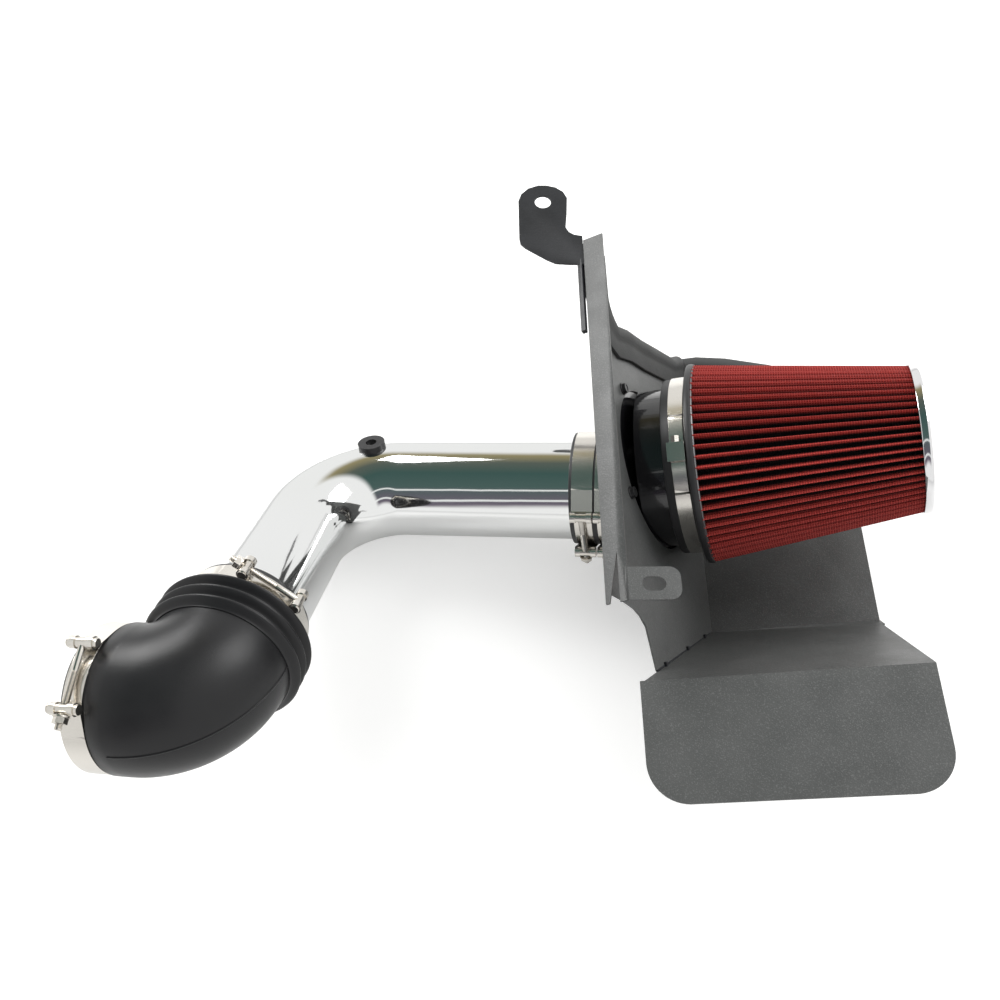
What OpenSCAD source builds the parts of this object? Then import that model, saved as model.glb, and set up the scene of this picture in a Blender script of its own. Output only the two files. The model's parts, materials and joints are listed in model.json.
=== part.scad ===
// Cold air intake: a polished 4 inch pipe with a rubber elbow for the throttle
// body at one end, and a cone filter behind a bent sheet heat shield at the other.
// The origin is the centre of the elbow's mouth. The assembly lies on the shield's
// long fold and on the bend of the pipe, with +Z up.

/* [Pipe] */
// Outer diameter of the pipe
pipe_d = 101.6; // [88.9:0.1:101.6]
// Wall of the pipe
pipe_wall = 1.65; // [1.2:0.05:2.5]
// Radius of the bend, on the centreline
bend_r = 95; // [85:1:105]
// Corner of the two centrelines to the end of the leg
leg_end = 236; // [232:1:238]
// Corner of the two centrelines to the end of the straight
straight_end = 290.3; // [288:0.1:290.5]
// Place of the breather hole along the bend, from the leg
breather_angle = 70.7; // [60:0.1:80]
// Diameter of the breather hole in the pipe
breather_d = 19; // [14:0.5:22]

/* [Elbow] */
// Outer radius of the elbow's body
elbow_r = 61.5; // [60:0.5:63]
// Radius of the elbow's turn, on the centreline
elbow_turn_r = 45; // [44:1:50]
// Wall of the elbow's body
elbow_wall = 6; // [5:0.5:7]
// Outer radius of the cuff on the pipe
cuff_r = 56; // [55:0.5:58]
// Outer radius at the mouth
mouth_r = 60; // [59:0.5:61]
// Radius of the bore that goes over the throttle body
mouth_bore_r = 54.5; // [52:0.5:55]
// Corner of the pipe to the start of the cuff
cuff_start = 206; // [204:1:208]
// Corner of the pipe to the first ridge's crest
ridge_start = 238.6; // [238:0.2:240]
// Distance between the ridges
ridge_pitch = 13; // [12.5:0.1:13.2]
// Number of ridges
ridges = 3; // [2:1:3]
// Height of a ridge over the valleys
ridge_h = 7; // [4:0.5:8]
// Length of the straight stretch at the mouth
mouth_len = 35; // [33:1:40]

/* [Hose] */
// Wall of the coupler hose
hose_wall = 4.4; // [4:0.1:5]
// Corner of the pipe to the start of the hose
hose_start = 267.2; // [266:0.2:268]
// Length of the hose
hose_len = 48; // [46:1:50]

/* [Clamps] */
// Width of a clamp's band
band_w = 20; // [18:0.5:20]
// Thickness of a clamp's band
band_t = 0.9; // [0.7:0.1:1.2]
// Distance between the two loops of a band
loop_gap = 52; // [50:1:56]
// Outer diameter of a loop
loop_d = 10.5; // [10:0.5:11]
// Diameter of the bolt
bolt_d = 6; // [5:1:6]
// Height of the bolt's axis over the hose
bolt_lift = 4.5; // [4:0.5:6]

/* [Adapter] */
// Radius of the flange against the shield
flange_r = 98; // [96:1:100]
// Thickness of the flange
flange_t = 5; // [4:0.5:6]
// Outer diameter of the spigot in the filter
filter_bore_d = 152.4; // [150:0.1:152.4]
// Wall of the adapter
adapter_wall = 4; // [3.5:0.5:5]
// Reach of the large spigot from the shield
spigot_reach = 44; // [42:1:46]

/* [Filter] */
// Radius of the base ring
base_r = 96; // [94:1:98]
// Outer radius of the neck
neck_r = 84; // [83:0.5:85]
// Lip of the neck from the shield, along the filter
neck_start = 21.5; // [20:0.5:23]
// Front of the base ring from the shield
base_start = 44.5; // [44:0.5:46]
// Back of the base ring, where the pleats start
pleat_start = 51; // [50:0.5:52]
// Length of the pleats
pleat_len = 187; // [180:1:190]
// Radius of the pleats at the base
pleat_r = 94.5; // [92:0.5:95]
// Radius of the pleats at the cap
pleat_end_r = 66.7; // [64:0.1:70]
// Depth of a pleat at the base
pleat_h = 15; // [10:1:18]
// Number of pleats
pleats = 60; // [48:1:60]
// Thickness of the cap
cap_t = 8; // [7:0.5:10]

/* [Shield] */
// Thickness of the sheet
sheet = 1.6; // [1.2:0.1:2]
// Height of the wall along its slope
wall_h = 267.6; // [260:0.1:270]
// Angle between the wall and the panel
wall_angle = 108.9; // [106:0.1:110]
// Length of the fold between the wall and the panel
fold_len = 320; // [318:1:324]
// Width of the panel
panel_w = 164; // [160:1:168]
// Width of the flange along the wall's top
top_w = 18.5; // [18:0.1:19]
// Reach of the near band, level with the panel
band_reach = 105.2; // [100:0.1:110]
// Height of the near band over the panel
band_rise = 189.7; // [185:0.1:192]
// Depth of the near flap
flap_depth = 99; // [96:1:102]
// Radius of the flap's corners
flap_corner_r = 33; // [25:1:36]

/* [Seal] */
// Radius of the seal's bulb
bulb_r = 9; // [8:0.5:10]
// Depth of the clip over the sheet's edge
clip_depth = 14; // [12:1:15]

/* [Hidden] */
$fn = 48;
eps = 0.01;
big = 400;
pipe_r = pipe_d / 2;
bore_r = pipe_r - pipe_wall;
elbow_bore_r = elbow_r - elbow_wall;
ridge_end = ridge_start + (ridges - 0.5) * ridge_pitch;
elbow_centre = [-elbow_turn_r, -ridge_end, 0];
mouth_centre = [-elbow_turn_r - mouth_len, -ridge_end - elbow_turn_r, 0];
breather_at = [bend_r - bend_r * cos(breather_angle), bend_r * sin(breather_angle) - bend_r, 0];

// Turns between the parts' own frames, read off the photographed assembly.
pipe_turn = [-27.3, -11.06, -7.24];
wall_turn = [30.46, -19.95, -3.25];
filter_turn = [0, 11.07, -3.28];
wall_reach = 349.4;
hole_shift = [0, 16, 12.7];
pipe_in_wall = [0, 18.81, -7.53];

// The hole in the shield's wall, from the near end of the long fold.
hole_y = 126.5;
hole_up = 132;
hole_r = 79.5;
bolt_y = 56;
bolt_z = 66;
m6_r = 3;
m6_hole_r = 3.4;

hose_r = pipe_r + hose_wall;
spigot_start = straight_end + 1.4;
clamp_first = hose_start + 13;
clamp_second = clamp_first + band_w + 2;
cuff_clamp = cuff_start + 14.3;
mouth_clamp = mouth_centre[0] + 10.5;
// Stretch of the mouth that goes over the throttle body.
mouth_cuff = 21;
mouth_bore_len = 27;

// Frames. Each part is built square to its own frame and placed once.
module in_pipe() {
    rotate(pipe_turn) translate(-mouth_centre) children();
}
module in_wall() {
    in_pipe() translate([wall_reach, 0, 0]) rotate(wall_turn) translate(hole_shift) children();
}
module in_filter() {
    in_wall() rotate(filter_turn) children();
}
// The shield's panel lies in this frame's XY plane, with the long fold along Y.
module in_shield() {
    in_wall() rotate([0, wall_angle - 90, 0]) translate(-fold_to_hole) children();
}
fold_to_hole = [hole_up * cos(wall_angle), hole_y, hole_up * sin(wall_angle)];

// A rod or tube along +X, -Y and so on.
module along_x(r, len, x = 0) {
    translate([x, 0, 0]) rotate([0, 90, 0]) cylinder(r = r, h = len, $fn = 96);
}
module down_y(r, len, y = 0) {
    translate([0, y, 0]) rotate([90, 0, 0]) cylinder(r = r, h = len, $fn = 96);
}

module bend(r) {
    translate([bend_r, -bend_r, 0]) rotate([0, 0, 90])
        rotate_extrude(angle = 90, $fn = 96) translate([bend_r, 0]) circle(r = r);
}
module pipe_solid(r, past = 0) {
    bend(r);
    along_x(r, straight_end - bend_r + past, bend_r);
    down_y(r, leg_end - bend_r + past, -bend_r);
}
module intake_pipe() {
    color("silver") in_pipe() difference() {
        pipe_solid(pipe_r);
        pipe_solid(bore_r, 1);
        translate(breather_at) cylinder(d = breather_d, h = pipe_d);
    }
}

// The grommet is snapped in the breather hole: a lip outside, a lip inside.
module breather_grommet() {
    lip_r = 13.5;
    bore = 5.5;
    lip = 5;
    inner_lip_r = 11.5;
    color("dimgray") in_pipe() difference() {
        translate(breather_at) union() {
            difference() {
                cylinder(r = lip_r, h = pipe_r + lip);
                translate(-breather_at) pipe_solid(pipe_r + eps);
            }
            cylinder(d = breather_d, h = pipe_r + 1);
            intersection() {
                cylinder(r = inner_lip_r, h = pipe_r);
                translate(-breather_at) pipe_solid(bore_r - eps);
            }
        }
        translate(breather_at) cylinder(r = bore, h = pipe_d);
        translate(breather_at) translate([0, 0, -1]) cylinder(r = lip_r + 1, h = bore_r - lip);
    }
}

// The elbow's turn: the part of a tube beyond the inner corner, turned about it.
module turn(r) {
    translate(elbow_centre) rotate([0, 0, -90]) rotate_extrude(angle = 90, $fn = 96)
        intersection() {
            translate([elbow_turn_r, 0]) circle(r = r);
            translate([0, -r]) square([2 * r + elbow_turn_r, 2 * r]);
        }
}
function ridge_points(r, h) = [
    for (i = [0 : ridges * 8]) let (s = i / 8)
        [r + h * (1 - cos(360 * s)) / 2, ridge_start + (s - 0.5) * ridge_pitch]
];
// Bellows, cuff and body of the leg of the elbow, turned about the leg's axis.
module ridged_leg(r, h) {
    pts = ridge_points(r, h);
    rotate([90, 0, 0]) rotate_extrude($fn = 96)
        polygon(concat([[0, pts[0][1]]], pts, [[0, pts[len(pts) - 1][1]]]));
}
module rubber_elbow() {
    bellows_r = 62.5;
    color([0.06, 0.06, 0.065]) in_pipe() difference() {
        union() {
            down_y(cuff_r, ridge_start - cuff_start, -cuff_start);
            ridged_leg(bellows_r, ridge_h);
            down_y(elbow_r, ridge_pitch, ridge_pitch - ridge_end);
            turn(elbow_r);
            translate([mouth_centre[0], mouth_centre[1], 0]) {
                along_x(elbow_r, mouth_len - mouth_cuff, mouth_cuff);
                along_x(mouth_r, mouth_cuff + 1);
            }
        }
        down_y(pipe_r, leg_end - cuff_start + 1, 1 - cuff_start);
        ridged_leg(elbow_bore_r, ridge_h - 1);
        turn(elbow_bore_r);
        translate([mouth_centre[0], mouth_centre[1], 0]) {
            along_x(elbow_bore_r, mouth_len - mouth_bore_len, mouth_bore_len);
            along_x(mouth_bore_r, mouth_bore_len + 1.5, -1);
        }
    }
}

module coupler_hose() {
    color([0.08, 0.08, 0.085]) in_pipe() difference() {
        along_x(hose_r, hose_len, hose_start);
        along_x(pipe_r, hose_len + 2, hose_start - 1);
    }
}

// T-bolt clamp. Its band lies about the Z axis, with the bolt across +X. The band
// leaves the hose in two straight legs, each ending in a loop round a cross pin.
function loop_x(r) = r + bolt_lift;
function loop_reach(r) = norm([loop_x(r), loop_gap / 2]);
function leg_len(r) = sqrt(pow(loop_reach(r), 2) - pow(r + loop_d / 2, 2));
function leg_angle(r) = acos((r + loop_d / 2) / loop_reach(r)) + atan(loop_gap / 2 / loop_x(r));
module clamp_band(r) {
    a = leg_angle(r);
    slot = bolt_d + 4;
    join = 0.6;
    lap = 1.5;
    proud = 0.2;
    difference() {
        union() {
            rotate([0, 0, a]) rotate_extrude(angle = 360 - 2 * a, $fn = 120)
                translate([r + seat_gap, -band_w / 2]) square([band_t, band_w]);
            for (side = [-1, 1]) rotate([0, 0, side * a])
                translate([r + 0.12, side > 0 ? join - leg_len(r) : -lap, -band_w / 2])
                    cube([band_t - 0.1, leg_len(r) - join + lap, band_w]);
            for (side = [-1, 1])
                translate([loop_x(r), side * loop_gap / 2, -band_w / 2 - proud])
                    cylinder(d = loop_d, h = band_w + 2 * proud);
        }
        for (side = [-1, 1]) {
            translate([loop_x(r), side * loop_gap / 2, -band_w / 2 - 1])
                cylinder(d = loop_d - 2 * band_t, h = band_w + 2);
            translate([loop_x(r) - bolt_d / 2 - 0.6, side * loop_gap / 2 - loop_d, -slot / 2])
                cube([2 * loop_d, 2 * loop_d, slot]);
        }
        bridge_ring(r, bridge_spread + 1, band_w - 2.8, seat_gap);
    }
}
// The bridge keeps the rubber from bulging in the gap under the bolt.
module clamp_bridge(r) {
    bridge_ring(r, bridge_spread, band_w - 3, 0);
}
module bridge_ring(r, spread, w, more) {
    a = leg_angle(r) + spread;
    rotate([0, 0, -a]) rotate_extrude(angle = 2 * a, $fn = 120)
        translate([r - more, -w / 2]) square([band_t / 2 + 2 * more, w]);
}
bridge_spread = 8;
seat_gap = 0.02;
module clamp_bolt(r, over = 3) {
    head_d = loop_d - 2 * band_t - 0.2;
    past = 16;
    translate([loop_x(r), 0, 0]) {
        translate([0, -loop_gap / 2, -band_w / 2 - over]) cylinder(d = head_d, h = band_w + 2 * over);
        translate([0, -loop_gap / 2, 0]) rotate([-90, 0, 0]) cylinder(d = bolt_d, h = loop_gap + past);
    }
}
module clamp_trunnion(r, over = 3) {
    trunnion_d = loop_d - 2 * band_t - 0.2;
    translate([loop_x(r), loop_gap / 2, 0]) difference() {
        translate([0, 0, -band_w / 2 - over]) cylinder(d = trunnion_d, h = band_w + 2 * over);
        rotate([90, 0, 0]) cylinder(d = bolt_d + 0.2, h = loop_d * 2, center = true);
    }
}
module clamp_nut(r) {
    across = 11.5;
    translate([loop_x(r), loop_gap / 2 + loop_d / 2 + seat_gap, 0]) rotate([-90, 0, 0]) difference() {
        union() {
            cylinder(d = across, h = 6, $fn = 6);
            cylinder(d = across + 1.5, h = 1.2);
        }
        translate([0, 0, -1]) cylinder(d = bolt_d, h = 10);
    }
}
module on_mouth() {
    in_pipe() translate([mouth_clamp, mouth_centre[1], 0]) rotate([0, 90, 0]) rotate([0, 0, mouth_bolt_turn])
        children();
}
module on_cuff() {
    in_pipe() translate([0, -cuff_clamp, 0]) rotate([90, 0, 0]) rotate([0, 0, cuff_bolt_turn]) children();
}
module on_hose(x, turned) {
    in_pipe() translate([x, 0, 0]) rotate([0, 90, 0]) rotate([0, 0, turned]) children();
}
module on_both_hose_ends() {
    on_hose(clamp_first, hose_bolt_turn) children();
    on_hose(clamp_second, hose_bolt_turn) children();
}
mouth_bolt_turn = 210;
cuff_bolt_turn = 48.5;
hose_bolt_turn = 285;
steel = [0.75, 0.74, 0.72];

module filter_adapter() {
    small_reach = wall_reach - spigot_start;
    big_r = filter_bore_d / 2;
    color([0.03, 0.03, 0.035]) in_wall() difference() {
        union() {
            along_x(flange_r, flange_t, -flange_t - sheet);
            rotate(filter_turn) {
                along_x(big_r, spigot_reach + 4, -4);
            }
            translate(-hole_shift) rotate(pipe_in_wall) along_x(pipe_r, small_reach, -small_reach);
        }
        rotate(filter_turn) along_x(big_r - adapter_wall, spigot_reach + 2, -0.5);
        translate(-hole_shift) rotate(pipe_in_wall) along_x(pipe_r - adapter_wall, small_reach + 20, -small_reach - 1);
        for (y = [-bolt_y, bolt_y], z = [-bolt_z, bolt_z])
            translate([0, y, z]) along_x(m6_hole_r, flange_t + 2, -flange_t - sheet - 1);
    }
}
module at_adapter_bolts() {
    in_wall() for (y = [-bolt_y, bolt_y], z = [-bolt_z, bolt_z]) translate([0, y, z]) children();
}
module adapter_bolts() {
    head_h = 6;
    socket = 5;
    x0 = -flange_t - sheet - 1.6;
    color(steel) at_adapter_bolts() difference() {
        union() {
            along_x(m6_r - eps, -x0 + 4, x0);
            along_x(5, head_h, x0 - head_h);
        }
        translate([x0 - head_h - 1, 0, 0]) rotate([0, 90, 0]) cylinder(d = socket * 1.155, h = 4, $fn = 6);
    }
}
module adapter_washers() {
    color(steel) at_adapter_bolts() difference() {
        along_x(6.2, 1.6, -flange_t - sheet - 1.6);
        along_x(m6_hole_r - 0.2, 4, -flange_t - sheet - 3);
    }
}
// Rivet nuts set in the wall, with a low rim on the filter's side.
module adapter_rivet_nuts() {
    color(steel) at_adapter_bolts() difference() {
        union() {
            along_x(6, 1, 0);
            along_x(4.4, sheet + 1, -sheet);
            along_x(4.9, 3.5, 1 - eps);
        }
        along_x(m6_r, 12, -3);
    }
}

// Worm-drive clamp on the filter's neck.
neck_band_w = 13.5;
neck_band_x = 29;
neck_screw_turn = 200;
module on_neck() {
    in_filter() translate([neck_band_x + neck_band_w / 2, 0, 0]) rotate([0, 90, 0])
        rotate([0, 0, neck_screw_turn]) children();
}
module neck_clamp_band() {
    tail_deg = 24;
    color(steel) on_neck() union() {
        difference() {
            rotate([0, 0, 180]) cylinder(r = neck_r + band_t, h = neck_band_w, center = true, $fn = 120);
            rotate([0, 0, 180]) cylinder(r = neck_r, h = neck_band_w + 1, center = true, $fn = 120);
        }
        rotate([0, 0, -tail_deg]) rotate_extrude(angle = 2 * tail_deg, $fn = 120)
            translate([neck_r + band_t / 2, 0.4 - neck_band_w / 2]) square([band_t, neck_band_w - 0.8]);
    }
}
module neck_clamp_housing() {
    w = neck_band_w + 2;
    len = 17;
    top = 11;
    color(steel) on_neck() difference() {
        translate([neck_r + band_t * 1.5 + 0.05, -len / 2, -w / 2]) cube([top, len, w]);
        translate([neck_r + band_t * 1.5 + top / 2, 0, 0]) rotate([90, 0, 0])
            cylinder(d = top - 2, h = len + 2, center = true);
    }
}
module neck_clamp_screw() {
    len = 15;
    head = 8;
    color(steel) on_neck() translate([neck_r + band_t * 1.5 + 5.5, 0, 0]) rotate([90, 0, 0]) difference() {
        union() {
            cylinder(d = 8.4, h = len, center = true);
            translate([0, 0, len / 2]) cylinder(d = head, h = 7, $fn = 6);
        }
        translate([-0.6, -head, len / 2 + 5]) cube([1.2, 2 * head, 4]);
    }
}

module filter_base() {
    color([0.09, 0.09, 0.095]) in_filter() difference() {
        union() {
            along_x(neck_r, base_start - neck_start + 1, neck_start);
            along_x(base_r, pleat_start - base_start, base_start);
        }
        along_x(filter_bore_d / 2, pleat_start - neck_start + 12, neck_start - 1);
    }
}
// Half the thickness of the media, across the folds.
media_t = 1.6;
// Outline of the folded media: rounded folds, as deep at the base as pleat_h.
function pleat_ring(r, h) = [
    for (i = [0 : pleats * 4 - 1]) let (a = i * 90 / pleats, deep = [0, 0.22, 1, 0.22][i % 4])
        (r - h * deep) * [cos(a), sin(a)]
];
module filter_pleats() {
    color([0.45, 0.03, 0.05]) in_filter() translate([pleat_start, 0, 0]) rotate([0, 90, 0])
        linear_extrude(height = pleat_len, scale = pleat_end_r / pleat_r) difference() {
            polygon(pleat_ring(pleat_r, pleat_h));
            polygon(pleat_ring(pleat_r - media_t * 2, pleat_h));
        }
}
// Inner cage that keeps the folds from being sucked in.
module filter_cage() {
    gap = 0.4;
    inner = pleat_r - pleat_h - 2 * media_t;
    r0 = inner - gap;
    r1 = inner * pleat_end_r / pleat_r - gap;
    x0 = pleat_start - 5;
    len = pleat_len + 4.7;
    rows = 4;
    windows = 10;
    color("gray") in_filter() translate([x0, 0, 0]) rotate([0, 90, 0]) difference() {
        cylinder(r1 = r0, r2 = r1, h = len, $fn = 96);
        translate([0, 0, -eps]) cylinder(r1 = r0 - 1, r2 = r1 - 1, h = len + 2 * eps, $fn = 96);
        for (row = [0 : rows - 1], i = [0 : windows - 1])
            rotate([0, 0, i * 360 / windows]) translate([0, -9, 14 + row * (len - 20) / rows])
                cube([r0 + 5, 18, (len - 20) / rows - 12]);
    }
}
module filter_cap() {
    lip = 10;
    r = pleat_end_r + 1.6;
    dish = 3;
    color([0.85, 0.85, 0.87]) in_filter() translate([pleat_start + pleat_len, 0, 0]) rotate([0, 90, 0])
        rotate_extrude($fn = 120) polygon([
            [0, 0.1], [r - 0.2, 0.1], [r, 0.1], [r, cap_t - 2], [r - 0.6, cap_t - 0.6], [r - 2, cap_t],
            [r - lip, cap_t], [r - lip - dish, cap_t - dish], [0, cap_t - dish]
        ]);
}

// A bent sheet's section: the seen side's points, and the same a sheet's width off.
function unit(v) = v / norm(v);
function left(v) = [-v[1], v[0]];
function mitre(p, i, t) = let (
        before = i == 0 ? p[1] - p[0] : p[i] - p[i - 1],
        after = i == len(p) - 1 ? before : p[i + 1] - p[i],
        n0 = left(unit(before)), n1 = left(unit(after)), m = unit(n0 + n1)
    ) p[i] + m * t / (m * n0);
function bent(p, t) = concat(p, [for (i = [len(p) - 1 : -1 : 0]) mitre(p, i, t)]);

wall_dir = [cos(wall_angle), sin(wall_angle)];
wall_out = [sin(wall_angle), -cos(wall_angle)];
wall_top = wall_dir * (wall_h - sheet);
strip_near = -60.5;
strip_far = 313.7;
// Edges of the wall and the flap, as read off the photograph.
horn_r = 40;
horn_centre = [140, 78];
function horn_arc(n) = [for (i = [0 : n]) horn_centre + horn_r * [-cos(90 * i / n), sin(90 * i / n)]];
horn_edge = concat([[194, -132], [166, -92], [127, 9]], horn_arc(6), [[187.2, 119]]);
near_edge = [[-176, 140], [-173, 105], [-171.8, 80], [-174, 66], [-180, 54], [-194, 47], [-204, 42.4], [-213.7, 37.6]];
module through_wall(x0, x1) {
    multmatrix([[0, 0, 1, x0], [1, 0, 0, 0], [0, 1, 0, 0], [0, 0, 0, 1]])
        linear_extrude(height = x1 - x0) children();
}
module wall_frame() {
    translate(fold_to_hole) rotate([0, 90 - wall_angle, 0]) children();
}
// Wall, panel and top flange: one section along the long fold.
module long_profile() {
    section = bent([[panel_w, 0], [0, 0], wall_top, wall_top + wall_out * top_w], sheet);
    translate([0, strip_far + 40, 0]) rotate([90, 0, 0]) linear_extrude(height = strip_far + 140) polygon(section);
}
module wall_trim() {
    top = wall_h - hole_up - sheet - 0.4;
    wall_frame() {
        through_wall(-9, 9) polygon(concat(
            [[big, -132 - eps]], [for (p = horn_edge) p], [[187.2, top], [big, top]]));
        through_wall(-9, 9) polygon(concat(
            [[-big, top], [near_edge[0][0], top]], [for (p = near_edge) if (p[1] < top) p], [[-big, -100]]));
        through_wall(-9, big) polygon([[-big, 37.6], [-213.7, 37.6], [-hole_y, -hole_up], [-hole_y, -big], [-big, -big]]);
        translate([-9, strip_far - hole_y, top - 1]) cube([60, big, 20]);
        translate([-9, -big + strip_near - hole_y, top - 1]) cube([60, big, 20]);
        v_notch();
    }
}
// Slit at the near end of the top flange.
module v_notch() {
    translate([0, 0, wall_h - hole_up - 6]) linear_extrude(height = 12)
        polygon([[10.6, -143.7], [1.6, -188], [10.7, -188]]);
}
// Panel, near band and flap: one section across, along the panel's width.
module cross_profile() {
    section = bent([[fold_len - 2, 0], [0, 0], [-band_reach, band_rise], [-band_reach - flap_depth, band_rise]], sheet);
    translate([flap_left, 0, 0]) multmatrix([[0, 0, 1, 0], [1, 0, 0, 0], [0, 1, 0, 0], [0, 0, 0, 1]])
        linear_extrude(height = panel_w - flap_left) polygon(section);
}
flap_left = -69;
module cross_trim() {
    lean = wall_dir[0] / wall_dir[1];
    rotate([90, 0, 0]) translate([0, 0, -big]) linear_extrude(height = 2 * big)
        polygon([[-big, -10], [10 * -lean, -10], [0, 0], [band_rise * lean, band_rise - 2], [-big, band_rise - 2]]);
    flap_corner(flap_left, 1);
    flap_corner(panel_w - 2.5, -1);
    translate([panel_w - 2.5, -big, 20]) cube([10, big, big]);
    panel_far_trim();
}
module flap_corner(x, side) {
    y = -band_reach - flap_depth;
    translate([x, y, band_rise - 6]) difference() {
        translate([side > 0 ? -1 : 1 - flap_corner_r, -1, 0]) cube([flap_corner_r, flap_corner_r, 12]);
        translate([side * flap_corner_r, flap_corner_r, -1]) cylinder(r = flap_corner_r, h = 14);
    }
}
module panel_far_trim() {
    translate([0, 0, -8]) linear_extrude(height = 16)
        polygon([[-20, fold_len], [0, fold_len], [45, 312], [90, 297], [130, 279], [200, 240], [200, big], [-20, big]]);
}
// Tab with a slot, folded level off the near end of the top flange.
module slotted_tab() {
    reach = 42;
    near = -187;
    far = -159;
    corner = 9;
    wall_frame() translate([top_w - 0.4, 0, wall_h - hole_up - 0.7]) rotate([0, level_turn, 0])
        translate([0, 0, -0.9]) difference() {
            union() {
                translate([-2, near, 0]) cube([reach + 2 - corner, far - near, sheet]);
                translate([0, near + corner, 0]) cube([reach, far - near - 2 * corner, sheet]);
                for (y = [near + corner, far - corner]) translate([reach - corner, y, 0])
                    cylinder(r = corner, h = sheet);
            }
            for (x = [17, 24]) translate([x, -173.5, -1]) cylinder(r = 6, h = sheet + 2);
            translate([17, -179.5, -1]) cube([7, 12, sheet + 2]);
        }
}
level_turn = 90 - wall_angle + 49;
module heat_shield() {
    color([0.24, 0.25, 0.26]) in_shield() difference() {
        union() {
            difference() {
                long_profile();
                wall_trim();
                panel_far_trim();
            }
            difference() {
                cross_profile();
                cross_trim();
            }
            slotted_tab();
        }
        wall_frame() {
            along_x(hole_r, 20, -10);
            for (y = [-bolt_y, bolt_y], z = [-bolt_z, bolt_z]) translate([0, y, z]) along_x(4.5, 20, -10);
        }
        fold_relief();
    }
}

// Relief at the far end of the long fold, under the seal.
module fold_relief() {
    depth = clip_depth + 5;
    across = 15.5;
    translate([-across, fold_len - depth, -2 * sheet]) cube([2 * across, 4 * depth, across + 2 * sheet]);
}
// Bracket welded behind the wall's top, with a level foot that has a round hole.
bracket_hole = [-37, 236.6];
bracket_hole_r = 8;
module upper_bracket() {
    thick = 2;
    foot = [[-0.2, 158], [-14, 158], [-27, 159], [-36, 164], [-55.5, 178], [-60, 183], [-61, 190], [-61, 238],
            [-58, 247], [-51, 254.5], [-41, 258.5], [-33, 258.5], [-24, 256], [-16.5, 250], [-13, 242],
            [-14.1, 221], [-15.8, 204], [-13, 198], [-8, 194.5], [-0.2, 193]];
    color([0.2, 0.21, 0.22]) in_wall() translate([-sheet, 0, wall_h - hole_up]) union() {
        rotate([0, 30.1, 0]) difference() {
            translate([0, 0, -thick]) linear_extrude(height = thick) polygon(foot);
            translate([bracket_hole[0], bracket_hole[1], -thick - 1]) cylinder(r = bracket_hole_r, h = thick + 2);
        }
        translate([-6.4, 80, -2.8]) cube([4.5, 84, 5]);
    }
}

// Edge seal: a clip over the sheet's far edge, with a round bulb on top.
seal_section = [
    [1.0, -clip_depth], [4.5, -clip_depth], [4.5, 2], [8, 7], [bulb_r, 11.5], [6.4, 18], [0, 20.5],
    [-6.4, 18], [-bulb_r, 11.5], [-8, 7], [-4.5, 2], [-4.5, -clip_depth], [-1.0, -clip_depth], [-1.0, 0], [1.0, 0]
];
seal_caps = [[0, 1, 2, 14], [14, 2, 10, 13], [10, 11, 12, 13], [2, 3, 4, 5, 6, 7, 8, 9, 10]];
function wall_point(p) = fold_to_hole + [wall_out[0] * -sheet / 2 + wall_dir[0] * p[1], p[0],
                                         wall_out[1] * -sheet / 2 + wall_dir[1] * p[1]];
wall_normal = [wall_out[0], 0, wall_out[1]];
arc_back = horn_arc(6);
seal_wall_route = concat([[186, 119], [162, 118.5]], [for (i = [6 : -1 : 0]) arc_back[i]], [[115, 46], [127, 9], [146, -40], [166, -92], [184.5, -118.5]]);
seal_panel_route = [[15, 318], [45, 312], [90, 297], [130, 279], [160, 262.7]];
seal_route = concat([for (p = seal_wall_route) wall_point(p)], [[-sheet / 2, fold_len - 3, -sheet / 2]],
                    [for (p = seal_panel_route) [p[0], p[1], -sheet / 2]]);
seal_normals = concat([for (p = seal_wall_route) wall_normal], [unit(wall_normal + [0, 0, 1])],
                      [for (p = seal_panel_route) [0, 0, 1]]);
function tangent(i) = unit(seal_route[min(i + 1, len(seal_route) - 1)] - seal_route[max(i - 1, 0)]);
function seal_ring(i) = let (n = seal_normals[i], out = unit(cross(tangent(i), n)))
    [for (s = seal_section) seal_route[i] - n * s[0] + out * s[1] * seal_side];
seal_side = -1;
module edge_seal() {
    n = len(seal_section);
    rings = len(seal_route);
    pts = [for (i = [0 : rings - 1]) each seal_ring(i)];
    sides = [for (i = [0 : rings - 2], j = [0 : n - 1]) let (k = (j + 1) % n)
        [i * n + j, i * n + k, (i + 1) * n + k, (i + 1) * n + j]];
    first = [for (c = seal_caps) [for (j = [len(c) - 1 : -1 : 0]) c[j]]];
    last = [for (c = seal_caps) [for (j = c) (rings - 1) * n + j]];
    color([0.13, 0.13, 0.13]) in_shield() polyhedron(points = pts, faces = concat(sides, first, last));
}

intake_pipe();
breather_grommet();
rubber_elbow();
coupler_hose();
color(steel) on_mouth() clamp_band(mouth_r);  // throttle_clamp_band
color(steel) on_mouth() clamp_bridge(mouth_r);  // throttle_clamp_bridge
color(steel) on_mouth() clamp_bolt(mouth_r);  // throttle_clamp_bolt
color(steel) on_mouth() clamp_trunnion(mouth_r);  // throttle_clamp_trunnion
color(steel) on_mouth() clamp_nut(mouth_r);  // throttle_clamp_nut
color(steel) on_cuff() clamp_band(cuff_r);  // cuff_clamp_band
color(steel) on_cuff() clamp_bridge(cuff_r);  // cuff_clamp_bridge
color(steel) on_cuff() clamp_bolt(cuff_r, 1.4);  // cuff_clamp_bolt
color(steel) on_cuff() clamp_trunnion(cuff_r, 1.4);  // cuff_clamp_trunnion
color(steel) on_cuff() clamp_nut(cuff_r);  // cuff_clamp_nut
color(steel) on_both_hose_ends() clamp_band(hose_r);  // hose_clamp_bands
color(steel) on_both_hose_ends() clamp_bridge(hose_r);  // hose_clamp_bridges
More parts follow.
